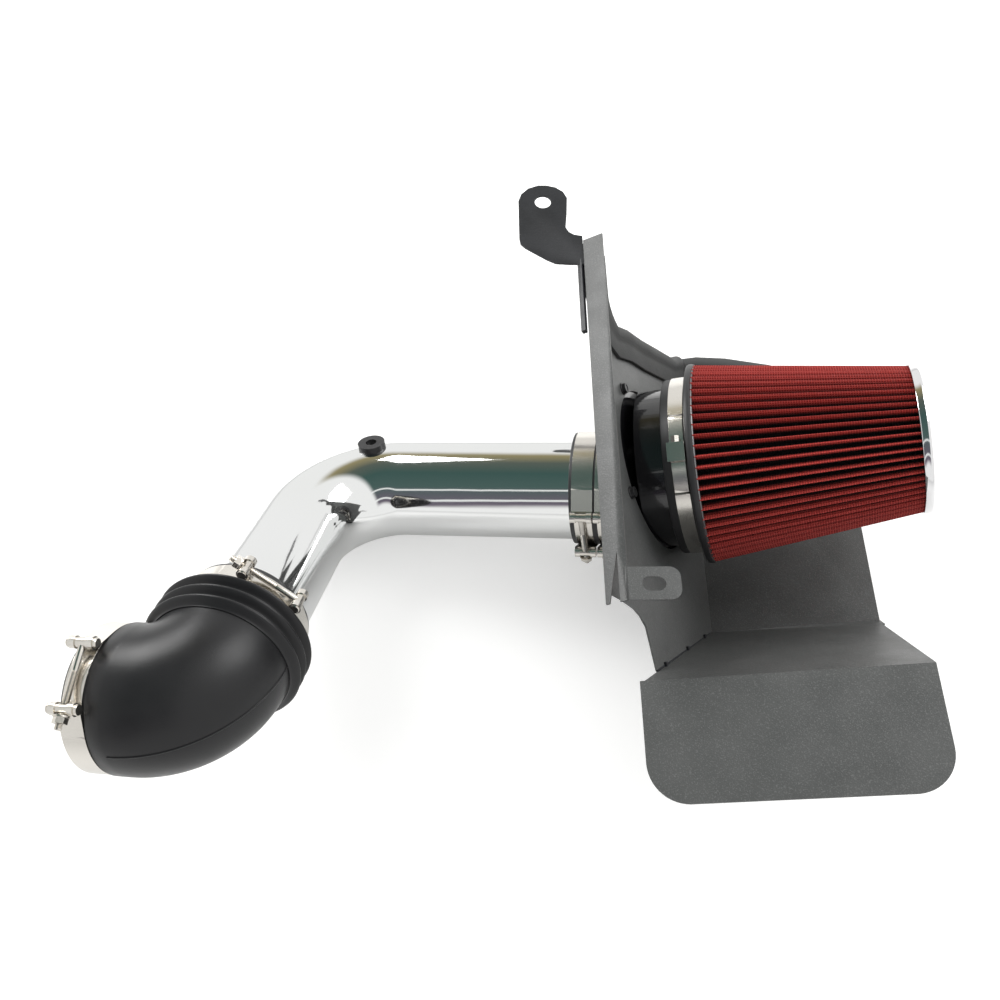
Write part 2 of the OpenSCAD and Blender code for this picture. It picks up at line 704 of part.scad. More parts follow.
color(steel) on_both_hose_ends() clamp_bolt(hose_r, 0.5);  // hose_clamp_bolts
color(steel) on_both_hose_ends() clamp_trunnion(hose_r, 0.5);  // hose_clamp_trunnions
color(steel) on_both_hose_ends() clamp_nut(hose_r);  // hose_clamp_nuts
filter_adapter();
adapter_bolts();
adapter_washers();
adapter_rivet_nuts();
neck_clamp_band();
neck_clamp_housing();
neck_clamp_screw();
filter_base();
filter_pleats();
filter_cage();
filter_cap();
heat_shield();
upper_bracket();
edge_seal();
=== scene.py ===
"""Blender scene of a cold air intake kit for an engine bay.

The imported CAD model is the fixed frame; each piece here stands where its CAD node is.
"""

from __future__ import annotations

import json
import logging
import math
from dataclasses import dataclass
from enum import Enum
from typing import Sequence

import bmesh
import bpy
from mathutils import Euler, Matrix, Vector

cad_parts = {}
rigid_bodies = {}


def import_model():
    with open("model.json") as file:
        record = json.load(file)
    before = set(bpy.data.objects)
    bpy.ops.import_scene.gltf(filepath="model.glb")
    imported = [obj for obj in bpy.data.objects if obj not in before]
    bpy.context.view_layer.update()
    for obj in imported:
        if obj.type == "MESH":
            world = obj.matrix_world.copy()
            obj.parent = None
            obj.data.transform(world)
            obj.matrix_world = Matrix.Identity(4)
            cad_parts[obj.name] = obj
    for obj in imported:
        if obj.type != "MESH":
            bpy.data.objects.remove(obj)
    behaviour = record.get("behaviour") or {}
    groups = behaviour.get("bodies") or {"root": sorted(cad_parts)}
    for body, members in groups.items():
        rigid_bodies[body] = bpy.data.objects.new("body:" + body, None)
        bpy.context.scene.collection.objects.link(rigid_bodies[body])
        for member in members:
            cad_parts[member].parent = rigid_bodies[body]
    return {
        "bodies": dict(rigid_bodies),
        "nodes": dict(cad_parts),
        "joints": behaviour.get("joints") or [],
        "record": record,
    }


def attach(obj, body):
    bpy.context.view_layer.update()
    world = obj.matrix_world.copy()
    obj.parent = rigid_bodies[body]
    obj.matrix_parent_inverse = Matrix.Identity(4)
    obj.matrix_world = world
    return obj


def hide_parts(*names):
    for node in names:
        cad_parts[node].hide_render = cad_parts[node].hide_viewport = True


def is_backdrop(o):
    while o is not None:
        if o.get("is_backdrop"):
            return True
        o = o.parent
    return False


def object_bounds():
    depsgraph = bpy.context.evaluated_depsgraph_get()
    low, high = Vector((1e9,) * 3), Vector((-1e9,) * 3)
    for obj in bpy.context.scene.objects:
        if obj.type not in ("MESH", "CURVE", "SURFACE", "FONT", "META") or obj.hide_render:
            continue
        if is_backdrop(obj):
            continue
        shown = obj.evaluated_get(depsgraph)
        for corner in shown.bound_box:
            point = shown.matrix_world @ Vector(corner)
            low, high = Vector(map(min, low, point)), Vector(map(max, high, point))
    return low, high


log = logging.getLogger("intake")

ROOT = "root"
MM = Matrix.Scale(0.001, 4)
FOLD = "fold"
LONG_FOLD = 0.09
FOLD_FACE = 0.0016
FOLD_ANGLE = math.radians(15)
Point = Sequence[float]


def turned(degrees: Point) -> Matrix:
    """A turn about X, then Y, then Z, in degrees, as OpenSCAD's rotate makes it."""
    return Euler([math.radians(d) for d in degrees], "XYZ").to_matrix().to_4x4()


def moved(*by: float) -> Matrix:
    """A move, in millimetres."""
    return Matrix.Translation(by)


@dataclass(frozen=True)
class Layout:
    """Sizes in millimetres that several pieces share, as in the CAD source."""

    pipe_r: float = 50.8
    pipe_wall: float = 1.65
    bend_r: float = 95.0
    leg_end: float = 236.0
    straight_end: float = 290.3
    elbow_r: float = 61.5
    elbow_turn_r: float = 45.0
    elbow_wall: float = 6.0
    cuff_r: float = 56.0
    cuff_start: float = 206.0
    mouth_r: float = 60.0
    mouth_bore_r: float = 54.5
    mouth_bore_len: float = 27.0
    mouth_cuff: float = 21.0
    mouth_len: float = 35.0
    ridge_start: float = 238.6
    ridge_pitch: float = 13.0
    ridges: int = 3
    ridge_h: float = 7.0
    bellows_r: float = 62.5
    hose_start: float = 267.2
    hose_len: float = 48.0
    hose_wall: float = 4.4
    band_w: float = 20.0
    mouth_clamp_in: float = 10.5
    mouth_clamp_turn: float = 210.0
    cuff_clamp_in: float = 14.3
    cuff_clamp_turn: float = 48.5
    hose_clamp_in: float = 13.0
    hose_clamp_step: float = 22.0
    hose_clamp_turn: float = 285.0
    wall_reach: float = 349.4
    wall_angle: float = 108.9
    hole_y: float = 126.5
    hole_up: float = 132.0
    sheet: float = 1.6
    filter_bore_d: float = 152.4
    neck_r: float = 84.0
    base_r: float = 96.0
    neck_start: float = 21.5
    base_start: float = 44.5
    pleat_start: float = 51.0
    pleat_len: float = 187.0
    pleat_r: float = 94.5
    pleat_end_r: float = 66.7
    cap_t: float = 8.0

    @property
    def ridge_end(self) -> float:
        """End of the ridges, where the elbow turns, from the corner."""
        return self.ridge_start + (self.ridges - 0.5) * self.ridge_pitch

    @property
    def mouth(self) -> Vector:
        """Centre of the elbow's mouth in the pipe's frame."""
        return Vector((-self.elbow_turn_r - self.mouth_len, -self.ridge_end - self.elbow_turn_r, 0))

    @property
    def hose_r(self) -> float:
        """Outer radius of the coupler hose."""
        return self.pipe_r + self.hose_wall

    @property
    def fold_to_hole(self) -> Vector:
        """From the long fold's near end to the hole in the shield's wall."""
        angle = math.radians(self.wall_angle)
        return Vector((self.hole_up * math.cos(angle), self.hole_y, self.hole_up * math.sin(angle)))


L = Layout()
PIPE = turned((-27.3, -11.06, -7.24)) @ Matrix.Translation(-L.mouth)
WALL = PIPE @ moved(L.wall_reach, 0, 0) @ turned((30.46, -19.95, -3.25)) @ moved(0, 16, 12.7)
FILTER = WALL @ turned((0, 11.07, -3.28))
SHIELD = WALL @ turned((0, L.wall_angle - 90, 0)) @ Matrix.Translation(-L.fold_to_hole)
MOUTH_CLAMP = (
    PIPE
    @ moved(L.mouth.x + L.mouth_clamp_in, L.mouth.y, 0)
    @ turned((0, 90, 0))
    @ turned((0, 0, L.mouth_clamp_turn))
)
CUFF_CLAMP = (
    PIPE
    @ moved(0, -L.cuff_start - L.cuff_clamp_in, 0)
    @ turned((90, 0, 0))
    @ turned((0, 0, L.cuff_clamp_turn))
)


def on_hose(along: float) -> Matrix:
    """The frame of a clamp on the coupler hose, whose middle is so far along the pipe."""
    return PIPE @ moved(along, 0, 0) @ turned((0, 90, 0)) @ turned((0, 0, L.hose_clamp_turn))


# --- Shader maths -----------------------------------------------------------------


class Value:
    """A node's output that can be used in a Python expression."""

    def __init__(self, nodes: "Nodes", socket: bpy.types.NodeSocket) -> None:
        """Keep the socket and the tree that it is in."""
        self.nodes, self.socket = nodes, socket

    def _math(self, operation: str, *others: "Value | float") -> "Value":
        """Add a Math node on this value and the others."""
        return self.nodes.add("ShaderNodeMath", {"operation": operation}, [self, *others])

    def __add__(self, other: "Value | float") -> "Value":
        """Sum."""
        return self._math("ADD", other)

    __radd__ = __add__

    def __mul__(self, other: "Value | float") -> "Value":
        """Product."""
        return self._math("MULTIPLY", other)

    __rmul__ = __mul__

    def __rsub__(self, other: float) -> "Value":
        """A number less this value."""
        return self.nodes.add("ShaderNodeMath", {"operation": "SUBTRACT"}, [other, self])

    def __abs__(self) -> "Value":
        """Size without the sign."""
        return self._math("ABSOLUTE")

    def sine(self) -> "Value":
        """Sine."""
        return self._math("SINE")

    def least(self, other: "Value | float") -> "Value":
        """The smaller of the two."""
        return self._math("MINIMUM", other)

    def most(self, other: "Value | float") -> "Value":
        """The larger of the two."""
        return self._math("MAXIMUM", other)

    def step(self, low: float, high: float) -> "Value":
        """0 below low, 1 above high, smooth between them; high may be the lower one."""
        return self.nodes.add(
            "ShaderNodeMapRange",
            {"interpolation_type": "SMOOTHSTEP"},
            {"Value": self, "From Min": low, "From Max": high},
        )

    def part(self, axis: int) -> "Value":
        """One of the three parts of a vector."""
        return self.nodes.add("ShaderNodeSeparateXYZ", {}, [self], out=axis)


class Nodes:
    """Adds nodes to one material's or world's tree."""

    def __init__(self, tree: bpy.types.NodeTree) -> None:
        """Empty the tree and keep it."""
        self.tree = tree
        tree.nodes.clear()

    def add(
        self,
        kind: str,
        settings: dict[str, object] | None = None,
        inputs: dict[str, object] | Sequence[object] = (),
        out: int | str = 0,
    ) -> Value:
        """Add a node of any kind.

        Args:
            kind: The node's type.
            settings: Its settings, set first; "ramp" is a list of (place, colour).
            inputs: Values or links of its sockets, by name or in order.
            out: The output that is handed back.

        Returns:
            That output.
        """
        node = self.tree.nodes.new(kind)
        for key, value in (settings or {}).items():
            if key == "ramp":
                self._ramp(node.color_ramp, value)
            else:
                setattr(node, key, value)
        pairs = inputs.items() if isinstance(inputs, dict) else enumerate(inputs)
        for key, value in pairs:
            if isinstance(value, Value):
                self.tree.links.new(value.socket, node.inputs[key])
            else:
                node.inputs[key].default_value = value
        return Value(self, node.outputs[out]) if node.outputs else Value(self, None)

    @staticmethod
    def _ramp(ramp: bpy.types.ColorRamp, stops: Sequence[tuple[float, Point]]) -> None:
        """Set a colour ramp's stops."""
        while len(ramp.elements) < len(stops):
            ramp.elements.new(1.0)
        for element, (place, colour) in zip(ramp.elements, stops):
            element.position = place
            element.color = (*colour, 1.0)

    def place(self, scale: float | Point = 1.0) -> Value:
        """Object coordinates, in metres, times a scale."""
        at = self.add("ShaderNodeTexCoord", out="Object")
        size = (scale,) * 3 if isinstance(scale, (int, float)) else scale
        return self.add("ShaderNodeMapping", {}, {"Vector": at, "Scale": size})

    def noise(self, scale: float, detail: float = 2.0, at: Value | None = None) -> Value:
        """Noise from 0 to 1, with so many waves to the metre."""
        return self.add(
            "ShaderNodeTexNoise",
            {},
            {"Vector": at or self.place(), "Scale": scale, "Detail": detail},
        )

    def mix(self, factor: Value | float, first: object, second: object) -> Value:
        """Mix two colours."""
        node = self.tree.nodes.new("ShaderNodeMix")
        node.data_type = "RGBA"
        sockets = [node.inputs["Factor"]] + [s for s in node.inputs if s.type == "RGBA"]
        for socket, value in zip(sockets, (factor, first, second)):
            if isinstance(value, Value):
                self.tree.links.new(value.socket, socket)
            else:
                socket.default_value = value if isinstance(value, float) else (*value, 1.0)
        return Value(self, next(s for s in node.outputs if s.type == "RGBA"))

    def bump(self, height: Value, depth: float, below: Value | None = None) -> Value:
        """A normal from a height of 0 to 1, whose full depth is in metres."""
        inputs: dict[str, object] = {"Height": height, "Distance": depth, "Strength": 1.0}
        if below is not None:
            inputs["Normal"] = below
        return self.add("ShaderNodeBump", {}, inputs)


# --- Finishes ---------------------------------------------------------------------


@dataclass(frozen=True)
class Finish:
    """A finish: one shader with the detail that its surface has."""

    name: str
    colour: Point = (0.5, 0.5, 0.5)
    colour_2: Point | None = None
    rough: float = 0.4
    metal: float = 0.0
    grain: float = 900.0
    grain_depth: float = 0.0
    mottle: float = 30.0
    coat: float = 0.0
    shine: float = 0.5

    def surface(self, nodes: Nodes) -> dict[str, object]:
        """The shader inputs; a finish with a pattern of its own changes them."""
        patch = nodes.noise(self.mottle, 4.0)
        inputs: dict[str, object] = {
            "Base Color": nodes.mix(patch, self.colour, self.colour_2 or self.colour),
            "Roughness": patch.step(0.2, 0.8) * (self.rough * 0.3) + self.rough * 0.85,
            "Metallic": self.metal,
            "Coat Weight": self.coat,
            "Specular IOR Level": self.shine,
        }
        if self.grain_depth:
            inputs["Normal"] = nodes.bump(nodes.noise(self.grain, 3.0), self.grain_depth)
        return inputs

    def material(self) -> bpy.types.Material:
        """The material, made once."""
        made = bpy.data.materials.get(self.name)
        if made is not None:
            return made
        made = bpy.data.materials.new(self.name)
        made.use_nodes = True
        nodes = Nodes(made.node_tree)
        shader = nodes.add("ShaderNodeBsdfPrincipled", {}, self.surface(nodes), out="BSDF")
        nodes.add("ShaderNodeOutputMaterial", {}, {"Surface": shader})
        return made


@dataclass(frozen=True)
class BrushedBand(Finish):
    """Stainless band, with fine clouds in its roughness where it was brushed."""

    brush_scale: float = 60.0
    brush: float = 0.16

    def surface(self, nodes: Nodes) -> dict[str, object]:
        """Replace the patches of roughness by finer ones."""
        inputs = super().surface(nodes)
        clouds = nodes.noise(14.0, 2.0, nodes.place(self.brush_scale))
        inputs["Roughness"] = clouds * self.brush + self.rough * 0.7
        return inputs


@dataclass(frozen=True)
class Gauze(Finish):
    """Oiled cotton gauze between two fine wire screens, with painted shade in the fold valleys."""

    pitch: float = 0.0022
    wire: Point = (0.58, 0.06, 0.045)
    wire_share: float = 0.75
    wire_range: tuple[float, float] = (0.78, 0.99)
    wire_depth: float = 0.0005
    wire_shine: float = 0.3
    # Painted shade: the near-black colour put in the fold valleys.
    painted_valley_shade: Point = (0.003, 0.0006, 0.001)
    crest_range: tuple[float, float] = (0.36, 0.94)

    def surface(self, nodes: Nodes) -> dict[str, object]:
        """Weave the wires along and round the folds, and paint shade into the fold valleys."""
        cloth = nodes.add("ShaderNodeUVMap")
        turn = math.pi / self.pitch
        wires = [
            abs((cloth.part(axis) * turn).sine()).step(*self.wire_range) for axis in (0, 1)
        ]
        wire = wires[0].most(wires[1])
        red = nodes.mix(nodes.noise(self.mottle, 4.0), self.colour, self.colour_2)
        height = nodes.add("ShaderNodeAttribute", {"attribute_name": FOLD}, out="Fac")
        woven = nodes.mix(wire * self.wire_share, red, self.wire)
        return {
            # Painted shade: near black in the fold valleys, fading to the woven colour towards the
            # crests.
            "Base Color": nodes.mix(height.step(*self.crest_range), self.painted_valley_shade, woven),
            "Roughness": self.rough - wire * self.wire_shine,
            "Normal": nodes.bump(wire, self.wire_depth),
        }


@dataclass(frozen=True)
class PolishedPipe(Finish):
    """Polished alloy with faint lines that the polishing wheel left."""

    wheel: Point = (9, 420, 420)
    wheel_rough: float = 0.05
    tint_scale: float = 9.0
    wave_scale: float = 34.0
    wave_depth: float = 0.00012

    def surface(self, nodes: Nodes) -> dict[str, object]:
        """Add wheel lines, a slight tint and a faint waviness."""
        lines = nodes.noise(1.0, 2.0, nodes.place(self.wheel))
        tint = nodes.noise(self.tint_scale, 1.0)
        return {
            "Base Color": nodes.mix(tint, self.colour, self.colour_2),
            "Roughness": lines * self.wheel_rough + self.rough,
            "Metallic": self.metal,
            "Normal": nodes.bump(nodes.noise(self.wave_scale, 1.0), self.wave_depth),
        }


@dataclass(frozen=True)
class PowderCoat(Finish):
    """Textured powder coat with light scuffs."""

    coarse: float = 0.35
    speck_range: tuple[float, float] = (0.52, 0.7)
    speck_share: float = 0.3
    speck_gain: float = 2.6
    scuff: Point = (0.2, 0.2, 0.2)
    scuff_share: float = 0.18
    scuff_scale: float = 7.0
    scuff_range: tuple[float, float] = (0.62, 0.8)

    def surface(self, nodes: Nodes) -> dict[str, object]:
        """Add the coarse texture and light scuffs."""
        inputs = super().surface(nodes)
        fine = nodes.noise(self.grain, 2.0)
        coarse = nodes.noise(self.grain * self.coarse, 2.0)
        speck = fine.step(*self.speck_range)
        scuff = nodes.noise(self.scuff_scale, 6.0).step(*self.scuff_range)
        base = nodes.mix(scuff * self.scuff_share, inputs["Base Color"], self.scuff)
        bright = tuple(self.speck_gain * part for part in self.colour_2)
        inputs["Base Color"] = nodes.mix(speck * self.speck_share, base, bright)
        inputs["Normal"] = nodes.bump(fine * 0.5 + coarse * 0.5, self.grain_depth)
        return inputs


class F(Enum):
    PIPE = PolishedPipe("polished_alloy", (0.9, 0.905, 0.91), (0.86, 0.87, 0.86), 0.035, 1.0)
    CHROME = Finish("chromed_cap", (0.86, 0.86, 0.87), (0.82, 0.82, 0.83), 0.07, 1.0)
    BAND = BrushedBand("stainless_band", (0.8, 0.77, 0.72), (0.72, 0.69, 0.64), 0.2, 1.0)
    STEEL = Finish(
        "stainless_hardware", (0.78, 0.75, 0.7), (0.66, 0.62, 0.56), 0.22, 1.0, 700, 0.00004
    )
    RUBBER = Finish(
        "satin_rubber",
        (0.013, 0.013, 0.014),
        (0.017, 0.017, 0.018),
        rough=0.33,
        grain=1500,
        grain_depth=0.00006,
        shine=0.3,
    )
    HOSE = Finish(
        "hose_rubber", (0.016, 0.016, 0.017), (0.024, 0.024, 0.026), 0.5, 0.0, 1300, 0.00008
    )
    BASE = Finish(
        "moulded_base", (0.014, 0.014, 0.015), (0.024, 0.024, 0.025), 0.45, 0.0, 1500, 0.00006
    )
    GLOSS = Finish(
        "gloss_black",
        (0.006, 0.006, 0.007),
        (0.009, 0.009, 0.01),
        rough=0.12,
        grain=160,
        grain_depth=0.00006,
        coat=0.6,
    )
    GAUZE = Gauze(
        "oiled_gauze", (0.3, 0.0115, 0.0085), (0.21, 0.0075, 0.0065), 0.78, mottle=45.0
    )
    SCREEN = Finish("wire_screen", (0.3, 0.3, 0.3), (0.2, 0.2, 0.21), 0.4, 1.0, 1600, 0.0002)
    SHIELD = PowderCoat(
        "textured_coat", (0.062, 0.064, 0.063), (0.078, 0.08, 0.078), 0.42, 0.0, 900, 0.0003
    )
    # Painted shade: the shield's coat made about ten times darker, standing in for the shade on the
    # bracket's faces.
    BRACKET = PowderCoat(
        "shade_darkened_coat", (0.006, 0.007, 0.009), (0.01, 0.011, 0.014), 0.45, 0.0, 900, 0.00025
    )
    SEAL = Finish(
        "sponge_rubber", (0.035, 0.036, 0.036), (0.06, 0.061, 0.06), 0.72, 0.0, 800, 0.0003
    )
    DARK = Finish(
        "black_zinc", (0.03, 0.03, 0.032), (0.045, 0.045, 0.045), 0.35, 0.6, 700, 0.00005
    )


# --- Modelling --------------------------------------------------------------------


def mesh_of(bm: bmesh.types.BMesh, name: str) -> bpy.types.Mesh:
    """A mesh of a bmesh, which is freed."""
    mesh = bpy.data.meshes.new(name)
    bm.to_mesh(mesh)
    bm.free()
    return mesh


def linked(name: str, data: bpy.types.ID) -> bpy.types.Object:
    """A new object of some data, in the scene."""
    obj = bpy.data.objects.new(name, data)
    bpy.context.scene.collection.objects.link(obj)
    return obj


def piece(
    name: str,
    bm: bmesh.types.BMesh,
    frame: Matrix,
    finish: F,
    replaces: Sequence[str] = (),
    sharp: float = 35.0,
) -> bpy.types.Object:
    """Turn a bmesh in a part's own frame, in millimetres, into a finished piece.

    Args:
        name: The piece's name.
        bm: The mesh, which is freed.
        frame: The part's frame.
        finish: The finish.
        replaces: The CAD nodes that the piece stands for.
        sharp: Edges that turn by more than this many degrees stay sharp.

    Returns:
        The piece.
    """
    bmesh.ops.recalc_face_normals(bm, faces=bm.faces)
    bmesh.ops.transform(bm, matrix=MM @ frame, verts=bm.verts)
    return placed(name, mesh_of(bm, name), finish, replaces, sharp)


def placed(
    name: str,
    mesh: bpy.types.Mesh,
    finish: F,
    replaces: Sequence[str],
    sharp: float,
) -> bpy.types.Object:
    """Make the object of a mesh that is in the row frame, and attach it to the root body."""
    obj = linked(name, mesh)
    mesh.materials.clear()
    mesh.materials.append(finish.value.material())
    mesh.shade_smooth()
    mesh.set_sharp_from_angle(angle=math.radians(sharp))
    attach(obj, ROOT)
    if replaces:
        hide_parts(*replaces)
    log.info("%s: %d faces", name, len(mesh.polygons))
    return obj


def rounded(
    obj: bpy.types.Object, width: float, steps: int = 2, angle: float = 35.0
) -> bpy.types.Object:
    """Break a piece's edges with a live bevel, in millimetres."""
    bevel = obj.modifiers.new("edges", "BEVEL")
    bevel.width, bevel.segments = width / 1000, steps
    bevel.limit_method, bevel.angle_limit = "ANGLE", math.radians(angle)
    bevel.harden_normals = True
    return obj


def lathe(
    profile: Sequence[Point], closed: bool = True, steps: int = 96
) -> bmesh.types.BMesh:
    """Spin a profile of (along, radius) points a full turn about +X."""
    bm = bmesh.new()
    verts = [bm.verts.new((x, r, 0)) for x, r in profile]
    ends = list(zip(verts, verts[1:])) + ([(verts[-1], verts[0])] if closed else [])
    edges = [bm.edges.new(pair) for pair in ends]
    bmesh.ops.spin(
        bm,
        geom=verts + edges,
        cent=(0, 0, 0),
        axis=(1, 0, 0),
        angle=2 * math.pi,
        steps=steps,
        use_merge=True,
    )
    bmesh.ops.remove_doubles(bm, verts=bm.verts, dist=1e-4)
    return bm


def is_long_fold(edge: bmesh.types.BMEdge) -> bool:
    """Whether an edge is one of a sheet's long folds, and not a hole or a cut edge."""
    return (
        edge.calc_length() > LONG_FOLD
        and len(edge.link_faces) == 2
        and min(face.calc_area() for face in edge.link_faces) > FOLD_FACE
        and edge.calc_face_angle(0) > FOLD_ANGLE
    )


def everything(bm: bmesh.types.BMesh) -> list:
    """Everything in a bmesh, for an operator that takes mixed geometry."""
    return list(bm.verts) + list(bm.edges) + list(bm.faces)


def extruded(bm: bmesh.types.BMesh, edges: list) -> tuple[list, ...]:
    """Extrude edges in place; returns the new vertices, edges and faces."""
    new = bmesh.ops.extrude_edge_only(bm, edges=edges)["geom"]
    kinds = (bmesh.types.BMVert, bmesh.types.BMEdge, bmesh.types.BMFace)
    return tuple([part for part in new if isinstance(part, kind)] for kind in kinds)


def swung(bm: bmesh.types.BMesh, steps: int) -> bpy.types.Object:
    """A solid from a face that is spun through the elbow's turn, about its inner corner."""
    bmesh.ops.spin(
        bm,
        geom=everything(bm),
        cent=(-L.elbow_turn_r, -L.ridge_end, 0),
        axis=(0, 0, -1),
        angle=math.pi / 2,
        steps=steps,
        use_merge=False,
    )
    bmesh.ops.remove_doubles(bm, verts=bm.verts, dist=1e-3)
    return solid_of(bm)


def cast(
    nodes: dict[str, bpy.types.Object],
    name: str,
    node: str,
    finish: F,
    edge: float = 0.3,
    folds: float = 0.0,
) -> bpy.types.Object:
    """Finish a solid whose CAD shape is right: a merged copy with broken edges.

    Args:
        nodes: The CAD nodes.
        name: The piece's name.
        node: The CAD node that it is made from and replaces.
        finish: The finish.
        edge: Width of the broken edges in millimetres; 0 leaves them.
        folds: Radius of a bent sheet's long folds in millimetres, where it has them.

    Returns:
        The piece.
    """
    bm = bmesh.new()
    bm.from_mesh(nodes[node].data)
    bmesh.ops.remove_doubles(bm, verts=bm.verts, dist=2e-6)
    bmesh.ops.dissolve_limit(bm, angle_limit=math.radians(0.4), verts=bm.verts, edges=bm.edges)
    if folds:
        bmesh.ops.bevel(
            bm,
            geom=[e for e in bm.edges if is_long_fold(e)],
            offset=folds / 1000,
            segments=4,
            profile=0.5,
            affect="EDGES",
            clamp_overlap=True,
            material=-1,
        )
    obj = placed(name, mesh_of(bm, name), finish, [node], 30.0)
    return rounded(obj, edge) if edge else obj


def combined(obj: bpy.types.Object, other: bpy.types.Object, how: str) -> None:
    """Join or cut a piece's mesh with another solid, which is then removed."""
    solid = obj.modifiers.new("cut", "BOOLEAN")
    solid.operation, solid.object, solid.solver = how, other, "EXACT"
    graph = bpy.context.evaluated_depsgraph_get()
    mesh = bpy.data.meshes.new_from_object(obj.evaluated_get(graph))
    obj.modifiers.remove(solid)
    obj.data = mesh
    bpy.data.objects.remove(other)


def solid_of(bm: bmesh.types.BMesh) -> bpy.types.Object:
    """A plain object of a bmesh, to be joined or cut with."""
    bmesh.ops.recalc_face_normals(bm, faces=bm.faces)
    return linked("tool", mesh_of(bm, "tool"))



@dataclass
class IntakePipe:
    """The polished pipe, with its breather grommet."""

    nodes: dict[str, bpy.types.Object]
    steps: int = 144
    bend_steps: int = 64
    lap: float = 0.8

    def build(self) -> None:
        """Build the pipe's tube and dress the grommet."""
        bm = bmesh.new()
        ring = bmesh.ops.create_circle(
            bm, segments=self.steps, radius=L.pipe_r, cap_ends=False
        )["verts"]
        to_end = moved(0, -L.leg_end, 0) @ turned((90, 0, 0))
        bmesh.ops.transform(bm, matrix=to_end, verts=ring)
        verts, edges, _ = extruded(bm, list(bm.edges))
        bmesh.ops.translate(bm, vec=(0, L.leg_end - L.bend_r, 0), verts=verts)
        spun = bmesh.ops.spin(
            bm,
            geom=edges,
            cent=(L.bend_r, -L.bend_r, 0),
            axis=(0, 0, -1),
            angle=math.pi / 2,
            steps=self.bend_steps,
            use_merge=False,
        )["geom_last"]
        edges = [e for e in spun if isinstance(e, bmesh.types.BMEdge)]
        verts = extruded(bm, edges)[0]
        bmesh.ops.translate(bm, vec=(L.straight_end - L.bend_r, 0, 0), verts=verts)
        bmesh.ops.remove_doubles(bm, verts=bm.verts, dist=1e-4)
        pipe = piece("polished_pipe", bm, PIPE, F.PIPE, ["intake_pipe"], 40)
        wall = pipe.modifiers.new("wall", "SOLIDIFY")
        wall.thickness, wall.offset = L.pipe_wall / 1000, -1
        rounded(pipe, 0.4, 2, 50)
        cast(
            self.nodes, "breather_grommet_piece", "breather_grommet", F.RUBBER, self.lap
        )

